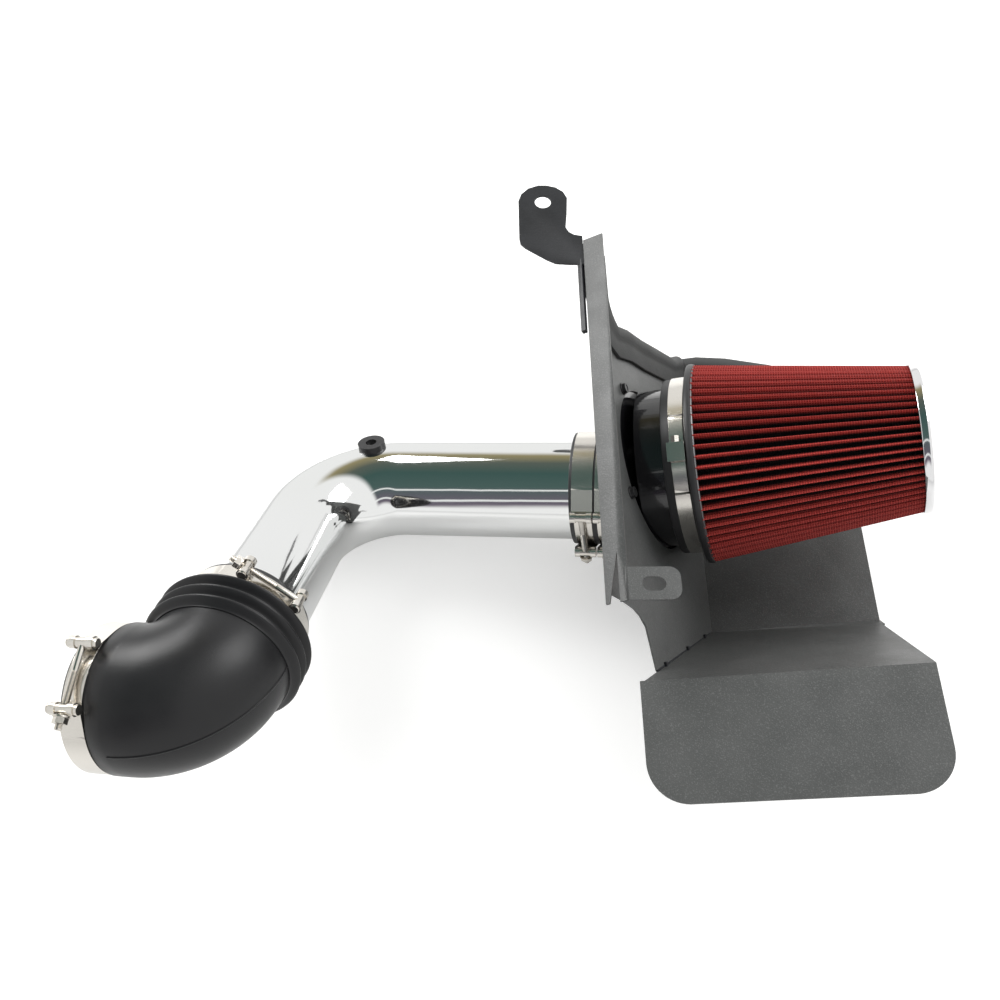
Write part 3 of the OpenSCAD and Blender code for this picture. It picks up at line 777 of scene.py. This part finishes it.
@dataclass
class RubberElbow:
    """The moulded elbow: cuff, bellows, turn and mouth."""

    lip: float = 1.2
    ridge_foot: float = 1.5
    ridge_thin: float = 1.0
    cut_past: float = 2.0
    seam_r: float = 0.8
    seam_steps: int = 48
    steps: int = 96
    per_ridge: int = 14

    def build(self) -> None:
        """Join the elbow's forms, cut the way through, and finish it."""
        body = self._form(L.cuff_r, L.bellows_r, L.ridge_h, L.elbow_r, 0.0)
        bore = L.elbow_r - L.elbow_wall
        way = self._form(L.pipe_r, bore, L.ridge_h - self.ridge_thin, bore, self.cut_past)
        combined(body, way, "DIFFERENCE")
        bm = bmesh.new()
        bm.from_mesh(body.data)
        bpy.data.objects.remove(body)
        bmesh.ops.remove_doubles(bm, verts=bm.verts, dist=0.01)
        elbow = piece("moulded_elbow", bm, PIPE, F.RUBBER, ["rubber_elbow"], 48)
        rounded(elbow, 0.9, 3, 48)

    def _form(
        self, cuff: float, bellows: float, high: float, turn: float, past: float
    ) -> bpy.types.Object:
        """One form of the elbow; the way through is longer by past, and has the bores."""
        bore = past > 0
        start, ridges = L.cuff_start - past, L.ridge_start - L.ridge_pitch / 2
        if bore:
            pts = [(start, 0), (start, cuff), (ridges, cuff)]
        else:
            pts = [(start, 0), (start, cuff - self.lip), (start + self.lip, cuff)]
            pts.append((ridges - self.ridge_foot, cuff))
        for i in range(L.ridges * self.per_ridge + 1):
            s = i / self.per_ridge
            wave = (1 - math.cos(2 * math.pi * s)) / 2
            pts.append((L.ridge_start + (s - 0.5) * L.ridge_pitch, bellows + high * wave))
        pts += [(L.ridge_end + 0.01, turn), (L.ridge_end + 0.02, 0)]
        leg = lathe(pts, closed=False, steps=self.steps)
        bmesh.ops.transform(leg, matrix=turned((0, 0, -90)), verts=leg.verts)
        form = solid_of(leg)
        combined(form, self._turn(turn), "UNION")
        combined(form, self._mouth(turn, past), "UNION")
        if not bore:
            combined(form, self._seam(), "UNION")
        return form

    def _turn(self, r: float) -> bpy.types.Object:
        """The outer part of the turn, spun about the inner corner."""
        bm = self._disc(r, self.steps, 0)
        bmesh.ops.bisect_plane(
            bm,
            geom=everything(bm),
            plane_co=(-L.elbow_turn_r, 0, 0),
            plane_no=(-1, 0, 0),
            clear_outer=True,
            dist=1e-4,
        )
        return swung(bm, self.steps // 3)

    def _mouth(self, r: float, past: float) -> bpy.types.Object:
        """The straight mouth, with the cuff that the throttle clamp goes round."""
        x = L.mouth.x
        if past:
            end = x + L.mouth_bore_len
            pts = [(x - past, 0), (x - past, L.mouth_bore_r), (end, L.mouth_bore_r), (end, r)]
        else:
            end = x + L.mouth_cuff
            mid = self.lip * 0.4
            pts = [(x, 0), (x, L.mouth_r - self.lip), (x + mid, L.mouth_r - mid)]
            pts += [(x + self.lip, L.mouth_r), (end, L.mouth_r), (end + self.ridge_foot, r)]
        pts += [(x + L.mouth_len, r), (x + L.mouth_len, 0)]
        bm = lathe(pts, closed=False, steps=self.steps)
        bmesh.ops.translate(bm, vec=(0, L.mouth.y, 0), verts=bm.verts)
        return solid_of(bm)

    def _seam(self) -> bpy.types.Object:
        """The bead that the mould's parting line left round the outside of the turn."""
        return swung(self._disc(self.seam_r, 8, L.elbow_r + 0.05), self.seam_steps)

    @staticmethod
    def _disc(r: float, segments: int, x: float) -> bmesh.types.BMesh:
        """A disc across the leg at the end of its ridges, so far from its axis."""
        bm = bmesh.new()
        verts = bmesh.ops.create_circle(bm, segments=segments, radius=r, cap_ends=True)["verts"]
        bmesh.ops.rotate(bm, matrix=turned((90, 0, 0)).to_3x3(), cent=(0, 0, 0), verts=verts)
        bmesh.ops.translate(bm, vec=(x, -L.ridge_end, 0), verts=bm.verts)
        return bm


@dataclass
class CouplerHose:
    """The short hose that joins the pipe to the adapter."""

    lip: float = 0.9

    def build(self) -> None:
        """Spin the hose with rounded ends."""
        x0, x1, c = L.hose_start, L.hose_start + L.hose_len, self.lip
        r0, r1, s = L.pipe_r, L.hose_r, c * 0.3
        near = [(x0, r0), (x0, r1 - c), (x0 + s, r1 - s), (x0 + c, r1)]
        far = [(x1 - c, r1), (x1 - s, r1 - s), (x1, r1 - c), (x1, r0)]
        piece("coupler", lathe([*near, *far]), PIPE, F.HOSE, ["coupler_hose"], 40)


@dataclass
class BoltClamp:
    """A T-bolt clamp: band with rolled ends, bridge, T-bolt, cross pin and nut."""

    nodes: dict[str, bpy.types.Object]
    prefix: str
    name: str
    radius: float
    frames: list[Matrix]
    over: float
    plural: str = ""
    loop_gap: float = 52.0
    loop_d: float = 10.5
    bolt_d: float = 6.0
    lift: float = 4.5
    past: float = 16.0
    thread: float = 1.0
    thread_depth: float = 0.45
    plain: float = 22.0
    chamfer: float = 0.6

    def build(self) -> None:
        """Dress each part of the clamp."""
        parts = (
            ("band", "band", F.BAND, 0.22),
            ("bridge", "bridge", F.BAND, 0.15),
            ("pin", "trunnion", F.STEEL, 0.35),
            ("nut", "nut", F.STEEL, 0.35),
        )
        for part, node, finish, edge in parts:
            node = f"{self.prefix}_{node}{self.plural}"
            cast(self.nodes, f"{self.name}_{part}", node, finish, edge)
        self._bolt(f"{self.prefix}_bolt{self.plural}")

    def _bolt(self, node: str) -> None:
        """The T-bolt, with a chamfered head and a cut thread on its end."""
        whole = bmesh.new()
        for frame in self.frames:
            shank = lathe(self._shank(), closed=False, steps=28)
            self._add(whole, shank, frame @ self._at_bolt() @ turned((0, 0, 90)))
            r, h = (self.loop_d - 2) / 2, L.band_w / 2 + self.over
            c = self.chamfer
            outline = [(-h, 0), (-h, r - c), (c - h, r), (h - c, r), (h, r - c), (h, 0)]
            head = lathe(outline, closed=False, steps=40)
            self._add(whole, head, frame @ self._at_bolt() @ turned((0, 90, 0)))
        piece(f"{self.name}_bolt", whole, Matrix.Identity(4), F.STEEL, [node], 40)

    def _at_bolt(self) -> Matrix:
        """The middle of the T-bolt's head in the clamp's frame."""
        return moved(self.radius + self.lift, -self.loop_gap / 2, 0)

    def _shank(self) -> list[tuple[float, float]]:
        """The shank's profile; its outer half is threaded."""
        r, end = self.bolt_d / 2, self.loop_gap + self.past
        first = self.plain + self.thread
        turns = int((end - first - self.thread) / self.thread)
        pts = [(0, 0), (0, r), (self.plain, r)]
        for i in range(turns):
            x = first + i * self.thread
            pts += [(x, r - self.thread_depth), (x + self.thread / 2, r)]
        return [*pts, (end - self.chamfer, r - 0.4), (end, r - 0.9), (end, 0)]

    @staticmethod
    def _add(whole: bmesh.types.BMesh, part: bmesh.types.BMesh, frame: Matrix) -> None:
        """Put a part in the whole mesh."""
        bmesh.ops.transform(part, matrix=frame, verts=part.verts)
        mesh = mesh_of(part, "part")
        whole.from_mesh(mesh)
        bpy.data.meshes.remove(mesh)


@dataclass
class FilterAdapter:
    """The black adapter through the shield's wall, with its bolts."""

    nodes: dict[str, bpy.types.Object]

    def build(self) -> None:
        """Dress the adapter and its fasteners."""
        cast(self.nodes, "adapter", "filter_adapter", F.GLOSS, 0.9)
        for part in ("bolts", "washers", "rivet_nuts"):
            cast(self.nodes, f"wall_{part}", f"adapter_{part}", F.DARK, 0.3)


@dataclass
class ConeFilter:
    """The cone filter: neck and base, folded gauze, cage and end cap."""

    nodes: dict[str, bpy.types.Object]
    folds: int = 60
    fold_h: float = 15.0
    media: float = 1.6
    pinch: float = 1.15
    per_fold: int = 12
    rows: int = 14

    def build(self) -> None:
        """Build the filter's parts."""
        self._base()
        self._gauze()
        self._cap()
        cast(self.nodes, "inner_cage", "filter_cage", F.SCREEN, 0.0)
        for part, finish in (("band", F.BAND), ("housing", F.STEEL), ("screw", F.STEEL)):
            cast(self.nodes, f"neck_{part}", f"neck_clamp_{part}", finish, 0.25)

    def _base(self) -> None:
        """The moulded neck and base ring, with rounded edges."""
        x0, x1, x2 = L.neck_start, L.base_start, L.pleat_start
        r0, r1, r2 = L.filter_bore_d / 2, L.neck_r, L.base_r
        lip = [(x0, r0), (x0, r1 - 1.4), (x0 + 0.4, r1 - 0.4), (x0 + 1.4, r1)]
        inner_corner = [(x1 - 2.4, r1), (x1 - 0.7, r1 + 0.7), (x1, r1 + 2.4)]
        front_edge = [(x1, r2 - 2), (x1 + 0.6, r2 - 0.6), (x1 + 2, r2)]
        back_edge = [(x2 - 2, r2), (x2 - 0.6, r2 - 0.6), (x2, r2 - 2)]
        profile = [*lip, *inner_corner, *front_edge, *back_edge, (x2, r0)]
        bm = lathe(profile, steps=128)
        piece("filter_end", bm, FILTER, F.BASE, ["filter_base"], 25)
        rim = [(x2, r2 - 2.2), (x2 + 0.9, r2 - 2.6), (x2 + 1.2, r2 - 4), (x2, r2 - 5)]
        piece("screen_edge", lathe(rim, steps=128), FILTER, F.SCREEN, (), 30)

    def _gauze(self) -> None:
        """The folded gauze, from two zigzag walls that are joined at their ends."""
        bm = bmesh.new()
        cloth = bm.loops.layers.uv.new("cloth")
        bm.verts.layers.float.new(FOLD)
        outer = self._wall(bm, cloth, L.pleat_r)
        inner = self._wall(bm, cloth, L.pleat_r - 2 * self.media)
        for first, second in zip(outer, inner):
            bmesh.ops.bridge_loops(bm, edges=first + second)
        piece("pleated_gauze", bm, FILTER, F.GAUZE, ["filter_pleats"], 60)

    def _wall(self, bm: bmesh.types.BMesh, cloth: bmesh.types.BMLayerItem, r: float) -> tuple:
        """One wall of the gauze; returns its two end loops."""
        count = self.folds * self.per_fold
        ring = bmesh.ops.create_circle(bm, segments=count, radius=1.0, cap_ends=False)["verts"]
        bmesh.ops.transform(bm, matrix=turned((0, 90, 0)), verts=ring)
        fold = bm.verts.layers.float[FOLD]
        for vert in ring:
            turn = math.atan2(vert.co.z, vert.co.y) / (2 * math.pi)
            phase = (turn * self.folds) % 1.0
            wave = (0.5 + 0.5 * math.cos(2 * math.pi * phase)) ** self.pinch
            vert.co = Vector((0, vert.co.y, vert.co.z)) * (r - self.fold_h * (1 - wave))
            # Each vertex keeps its fold height; the gauze's colour paints shade into the valleys
            # from it.
            vert[fold] = wave
        bmesh.ops.translate(bm, vec=(L.pleat_start, 0, 0), verts=ring)
        edges = list({e for v in ring for e in v.link_edges})
        first, arc, taper = edges, self._arc(ring), 1 - L.pleat_end_r / L.pleat_r
        for row in range(1, self.rows + 1):
            verts, edges, faces = extruded(bm, edges)
            before, now = (1 - taper * k / self.rows for k in (row - 1, row))
            bmesh.ops.scale(bm, vec=(1, now / before, now / before), verts=verts)
            bmesh.ops.translate(bm, vec=(L.pleat_len / self.rows, 0, 0), verts=verts)
            for face in faces:
                self._map(face, cloth, arc)
        return first, edges

    def _arc(self, ring: list) -> float:
        """Length of cloth in a whole turn, in metres."""
        edges = {e for v in ring for e in v.link_edges}
        return sum(e.calc_length() for e in edges) / 1000

    def _map(self, face: bmesh.types.BMFace, cloth: bmesh.types.BMLayerItem, arc: float) -> None:
        """Lay the weave on a face: round the folds, and along them."""
        turns = [math.atan2(loop.vert.co.z, loop.vert.co.y) / (2 * math.pi) for loop in face.loops]
        for loop, turn in zip(face.loops, turns):
            turn += 1.0 if max(turns) - turn > 0.5 else 0.0
            loop[cloth].uv = (turn * arc, loop.vert.co.x / 1000)

    def _cap(self) -> None:
        """The dished chrome cap, with a rolled edge."""
        x, r, t = L.pleat_start + L.pleat_len, L.pleat_end_r + 1.6, L.cap_t
        end = x + t
        back = [(x + 0.1, 0), (x + 0.1, r - 0.2), (x + 0.5, r)]
        rim = [(end - 2.6, r), (end - 1.2, r - 0.5), (end - 0.4, r - 1.4), (end, r - 3)]
        dish = [(end, r - 9), (end - 0.6, r - 10.6), (end - 2.4, r - 12.4)]
        dish += [(end - 3, r - 14), (end - 3, 0)]
        cap = lathe([*back, *rim, *dish], closed=False, steps=160)
        piece("end_cap", cap, FILTER, F.CHROME, ["filter_cap"], 40)


@dataclass
class HeatShield:
    """The bent sheet shield, its bracket, its welds and its edge seal."""

    nodes: dict[str, bpy.types.Object]
    joint_slope: float = -0.5194
    bead: tuple[float, float, float] = (4.0, 168.0, 1.3)
    lugs: tuple[float, ...] = (28.0, 84.0, 148.0)
    lug_size: tuple[float, float, float] = (6.0, 3.4, 4.0)
    lug_out: float = 0.6
    bead_taper: float = 0.8

    def build(self) -> None:
        """Build the shield's parts."""
        cast(self.nodes, "shield", "heat_shield", F.SHIELD, 0.35, folds=2.2)
        cast(self.nodes, "bracket", "upper_bracket", F.BRACKET, 0.35)
        self._welds()
        EdgeSeal().build()

    def _welds(self) -> None:
        """The bead in the joint of the wall and the near band, with its three lugs."""
        angle = math.radians(L.wall_angle)
        slant = Vector((math.cos(angle), self.joint_slope, math.sin(angle)))
        out = Vector((math.sin(angle), 0, -math.cos(angle)))
        along = slant.normalized()
        axes = Matrix((out.cross(along), out, along)).transposed().to_4x4()
        start, end, r = self.bead
        bm = bmesh.new()
        middle = Matrix.Translation(slant * (start + end) / 2 - out * L.sheet / 2) @ axes
        length = (end - start) * slant.length
        bmesh.ops.create_cone(
            bm,
            cap_ends=True,
            segments=12,
            radius1=r,
            radius2=r * self.bead_taper,
            depth=length,
            matrix=middle @ turned((180, 0, 0)),
        )
        for at in self.lugs:
            place = Matrix.Translation(slant * at) @ axes @ moved(0, self.lug_out, 0)
            place = place @ Matrix.Diagonal((*self.lug_size, 1.0))
            bmesh.ops.create_cube(bm, size=1.0, matrix=place)
        # The welds take the bracket's darkened coat, with its painted shade.
        rounded(piece("shield_welds", bm, SHIELD, F.BRACKET, (), 30), 0.4)


@dataclass
class EdgeSeal:
    """Rubber seal: a clip over the sheet's edge, with a hollow bulb on top."""

    bulb_r: float = 9.0
    clip: float = 14.0
    bulb_wall: float = 2.2
    bulb_up: float = 11.5
    hollow_up: float = 11.9
    slot: float = 1.0
    clip_r: float = 4.5
    clip_tip: float = 4.0
    neck: float = 1.6
    fold_len: float = 320.0
    horn: tuple[float, float, float] = (140.0, 78.0, 40.0)
    wall_top: tuple[Point, ...] = ((186, 119), (162, 118.5))
    wall_edge: tuple[Point, ...] = (
        (115, 46), (127, 9), (146, -40), (166, -92), (184.5, -118.5)
    )
    panel_edge: tuple[Point, ...] = ((15, 318), (45, 312), (90, 297), (130, 279), (160, 262.7))

    def build(self) -> None:
        """Sweep the seal's section along the wall's and the panel's far edges."""
        bm = bmesh.new()
        frames = self._frames()
        outer = self._sweep(bm, self._section(), frames)
        inner = self._sweep(bm, self._hollow(), frames)
        for first, second in zip(outer, inner):
            bmesh.ops.triangle_fill(
                bm, use_beauty=True, use_dissolve=False, edges=first + second
            )
        seal = piece("edge_seal_rubber", bm, SHIELD, F.SEAL, ["edge_seal"], 42)
        rounded(seal, 0.4, 2, 50)

    def _section(self) -> list[Point]:
        """Outline of the section: across the sheet, and out from its edge."""
        c, r, g = self.clip, self.bulb_r, self.slot
        side, tip, neck = self.clip_r, self.clip_tip, self.neck
        bulb = []
        for degrees in range(40, 321, 20):
            a = math.radians(degrees)
            bulb.append((r * math.sin(a), self.bulb_up - r * math.cos(a)))
        right = [(g, -c), (tip, -c), (side, 0.6 - c), (side, neck)]
        left = [(-side, neck), (-side, 0.6 - c), (-tip, -c), (-g, -c), (-g, 0), (g, 0)]
        return right + bulb + left

    def _hollow(self) -> list[Point]:
        """Outline of the hole in the bulb."""
        r = self.bulb_r - self.bulb_wall
        angles = [2 * math.pi * k / 16 for k in range(16)]
        return [(r * math.sin(a), self.hollow_up - r * math.cos(a)) for a in angles]

    def _wall_point(self, y: float, z: float) -> Vector:
        """A point in the middle of the wall's sheet."""
        a = math.radians(L.wall_angle)
        out, up = Vector((math.sin(a), 0, -math.cos(a))), Vector((math.cos(a), 0, math.sin(a)))
        return L.fold_to_hole + out * (-L.sheet / 2) + up * z + Vector((0, y, 0))

    def _route(self) -> tuple[list[Vector], list[Vector]]:
        """The seal's line and the sheet's normal along it."""
        cy, cz, r = self.horn
        arc = []
        for degrees in range(90, -1, -15):
            a = math.radians(degrees)
            arc.append((cy - r * math.cos(a), cz + r * math.sin(a)))
        wall, half = [*self.wall_top, *arc, *self.wall_edge], L.sheet / 2
        a = math.radians(L.wall_angle)
        wall_normal, panel_normal = Vector((math.sin(a), 0, -math.cos(a))), Vector((0, 0, 1))
        points = [self._wall_point(*p) for p in wall]
        points.append(Vector((-half, self.fold_len - 3, -half)))
        points += [Vector((x, y, -half)) for x, y in self.panel_edge]
        normals = [wall_normal] * len(wall)
        normals.append((wall_normal + panel_normal).normalized())
        normals += [panel_normal] * len(self.panel_edge)
        return points, normals

    def _frames(self) -> list[Matrix]:
        """A frame at each point of the line: across the sheet, out from its edge, along."""
        points, normals = self._route()
        frames = []
        for i, (point, normal) in enumerate(zip(points, normals)):
            before, after = points[max(i - 1, 0)], points[min(i + 1, len(points) - 1)]
            out = (after - before).cross(normal).normalized() * -1
            along = normal.cross(out).normalized()
            frame = Matrix((-normal, out, along)).transposed().to_4x4()
            frame.translation = point
            frames.append(frame)
        return frames

    @staticmethod
    def _sweep(bm: bmesh.types.BMesh, section: list[Point], frames: list[Matrix]) -> tuple:
        """Extrude a closed section from frame to frame; returns its two end loops."""
        verts = [bm.verts.new(frames[0] @ Vector((x, y, 0))) for x, y in section]
        edges = [bm.edges.new(pair) for pair in zip(verts, verts[1:] + verts[:1])]
        first = edges
        for before, now in zip(frames, frames[1:]):
            moving, edges, _ = extruded(bm, edges)
            bmesh.ops.transform(bm, matrix=now @ before.inverted(), verts=moving)
        return first, edges


# --- The studio -------------------------------------------------------------------


@dataclass
class Studio:
    """Floor, lamps, world and camera."""

    floor_z: float
    eye: Point = (0.31343, -0.23972, 0.80241)
    right: Point = (0.99992, -0.00981, 0.0078)
    up: Point = (0.00508, 0.88624, 0.46321)
    back: Point = (-0.01146, -0.46313, 0.88622)
    lens: float = 36.0
    middle: Point = (0.35, 0.15, 0)
    key: float = 15.0
    key_at: Point = (-0.54, 1.1, 0.83)
    key_size: float = 0.7
    fill: float = 17.0
    fill_at: Point = (1.5, 0.75, 1.1)
    fill_size: float = 1.0
    floor_at: Point = (0.3, 0.1)
    floor_size: float = 4.0
    floor_colour: Point = (0.8, 0.8, 0.79)
    floor_glow: float = 0.32
    sky: float = 0.88
    mirror_sky: Point = (0.93, 0.93, 0.92)
    gap_right: Point = (0.3, 0.12)
    gap_left: Point = (-0.72, -0.58)
    gap_far: Point = (0.88, 0.74)
    gap_near: Point = (-0.94, -0.86)
    gap_low: Point = (0.08, 0.2)
    gap_tints: tuple[tuple[float, Point], ...] = (
        (0.0, (0.16, 0.13, 0.17)),
        (0.3, (0.07, 0.12, 0.11)),
        (0.6, (0.05, 0.1, 0.09)),
        (0.85, (0.1, 0.12, 0.1)),
        (1.0, (0.3, 0.26, 0.14)),
    )
    streaks: tuple[Point, Point] = ((0.53, 0.035, 0.012), (0.8, 0.03, 0.01))
    streak_share: float = 0.85
    streak_colour: Point = (0.95, 0.97, 0.95)

    def build(self) -> None:
        self._camera()
        self._floor()
        self._lamp("key", self.key_at, self.key_size, self.key)
        self._lamp("fill", self.fill_at, self.fill_size, self.fill)
        self._world()
        bpy.context.scene.view_settings.view_transform = "Standard"

    def _camera(self) -> None:
        """The photograph's camera."""
        data = bpy.data.cameras.new("camera")
        data.sensor_width, data.lens, data.clip_start = 36.0, self.lens, 0.02
        camera = linked("camera", data)
        axes = Matrix((self.right, self.up, self.back)).transposed().to_4x4()
        axes.translation = Vector(self.eye)
        camera.matrix_world = axes
        bpy.context.scene.camera = camera

    def _floor(self) -> None:
        """A pale floor that the camera sees as white."""
        bm = bmesh.new()
        bmesh.ops.create_grid(bm, x_segments=1, y_segments=1, size=self.floor_size)
        mesh = mesh_of(bm, "floor")
        floor = linked("floor", mesh)
        floor.location = (*self.floor_at, self.floor_z)
        paint = bpy.data.materials.new("floor_paint")
        paint.use_nodes = True
        nodes = Nodes(paint.node_tree)
        rays = nodes.add("ShaderNodeLightPath", out="Is Camera Ray")
        plain = nodes.add("ShaderNodeBsdfDiffuse", {}, {"Color": (*self.floor_colour, 1)})
        white = {"Color": (1, 1, 1, 1), "Strength": self.floor_glow}
        glow = nodes.add("ShaderNodeEmission", {}, white)
        lit = nodes.add("ShaderNodeAddShader", {}, [plain, glow])
        surface = nodes.add("ShaderNodeMixShader", {}, [rays, plain, lit])
        nodes.add("ShaderNodeOutputMaterial", {}, {"Surface": surface})
        mesh.materials.append(paint)
        floor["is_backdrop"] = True

    def _lamp(self, name: str, at: Point, size: float, power: float) -> None:
        data = bpy.data.lights.new(name, "AREA")
        data.shape, data.size, data.energy = "SQUARE", size, power
        lamp = linked(name, data)
        lamp.location = at
        aim = Vector(self.middle) - Vector(at)
        lamp.rotation_euler = aim.to_track_quat("-Z", "Y").to_euler()

    def _world(self) -> None:
        """A plain pale sky; polished metal sees a dark gap with two bright streaks in it."""
        world = bpy.data.worlds.new("studio")
        world.use_nodes = True
        bpy.context.scene.world = world
        nodes = Nodes(world.node_tree)
        way = nodes.add("ShaderNodeTexCoord", out="Generated")
        x, y, z = (way.part(axis) for axis in range(3))
        gap = x.step(*self.gap_right) * x.step(*self.gap_left)
        gap = gap * y.step(*self.gap_far) * y.step(*self.gap_near) * z.step(*self.gap_low)
        one, other = (abs(y + at).step(out, full) for at, out, full in self.streaks)
        streak = (one + other).least(1.0)
        ramp = {"ramp": self.gap_tints}
        tint = nodes.add("ShaderNodeValToRGB", ramp, [y * 0.6 + 0.55])
        dark = nodes.mix(streak * self.streak_share, tint, self.streak_colour)
        seen = nodes.mix(gap, self.mirror_sky, dark)
        glossy = nodes.add("ShaderNodeLightPath", out="Is Glossy Ray")
        camera = nodes.add("ShaderNodeLightPath", out="Is Camera Ray")
        colour = nodes.mix(glossy, (self.sky,) * 3, seen)
        colour = nodes.mix(camera, colour, (1.0, 1.0, 1.0))
        sky = nodes.add("ShaderNodeBackground", {}, {"Color": colour, "Strength": 1.0})
        nodes.add("ShaderNodeOutputWorld", {}, {"Surface": sky})


def corners(box: Sequence[Point]) -> list[list[float]]:
    """A box's two corners as plain lists."""
    return [[float(x) for x in corner] for corner in box]


def main() -> None:
    logging.basicConfig(level=logging.INFO, format="%(message)s")
    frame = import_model()
    cad_box = corners(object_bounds())
    nodes = frame["nodes"]
    Studio(floor_z=cad_box[0][2] - 0.001).build()
    IntakePipe(nodes).build()
    RubberElbow().build()
    CouplerHose().build()
    BoltClamp(nodes, "throttle_clamp", "throttle", L.mouth_r, [MOUTH_CLAMP], 3.0).build()
    BoltClamp(nodes, "cuff_clamp", "cuff", L.cuff_r, [CUFF_CLAMP], 1.4).build()
    first = L.hose_start + L.hose_clamp_in
    pair = [on_hose(first), on_hose(first + L.hose_clamp_step)]
    BoltClamp(nodes, "hose_clamp", "hose", L.hose_r, pair, 0.5, "s").build()
    FilterAdapter(nodes).build()
    ConeFilter(nodes).build()
    HeatShield(nodes).build()


if __name__ == "__main__":
    main()
